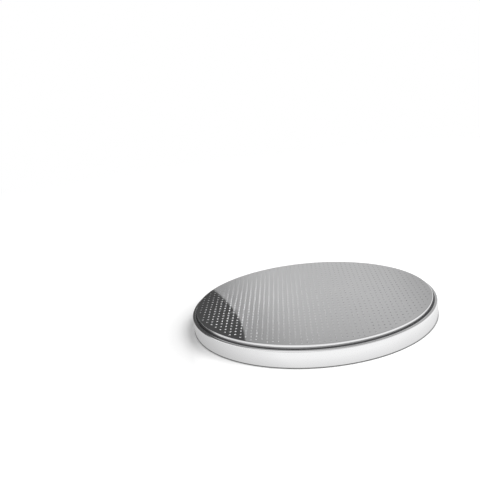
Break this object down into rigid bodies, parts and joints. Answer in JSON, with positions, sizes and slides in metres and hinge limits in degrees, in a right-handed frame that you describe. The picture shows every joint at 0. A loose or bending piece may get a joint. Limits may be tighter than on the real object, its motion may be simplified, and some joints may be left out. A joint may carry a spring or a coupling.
{
  "type": "lithium coin cell",
  "caption": "Flat round lithium cell: a steel can crimped over a gasket and a dimpled cap, with mesh collector, cathode pellet, separator and lithium disc inside.",
  "frame": {"origin": "centre of the positive can's flat underside", "axes": "+Z along the cell's axis, from the positive face to the negative face"},
  "size_m": [0.02, 0.02, 0.0016],
  "materials": {
    "can_steel": "bright nickel-plated stainless steel",
    "gasket_plastic": "dark moulded polypropylene",
    "cap_steel": "polished stainless steel with a dimpled face",
    "collector_steel": "expanded metal",
    "cathode_mix": "pressed powder",
    "separator_felt": "thin nonwoven felt",
    "lithium_metal": "soft punched foil"
  },
  "bodies": {
    "root": {"positive_can": "can_steel", "sealing_gasket": "gasket_plastic", "negative_cap": "cap_steel", "cathode_collector": "collector_steel", "cathode_pellet": "cathode_mix", "separator": "separator_felt", "lithium_anode": "lithium_metal"}
  },
  "joints": []
}
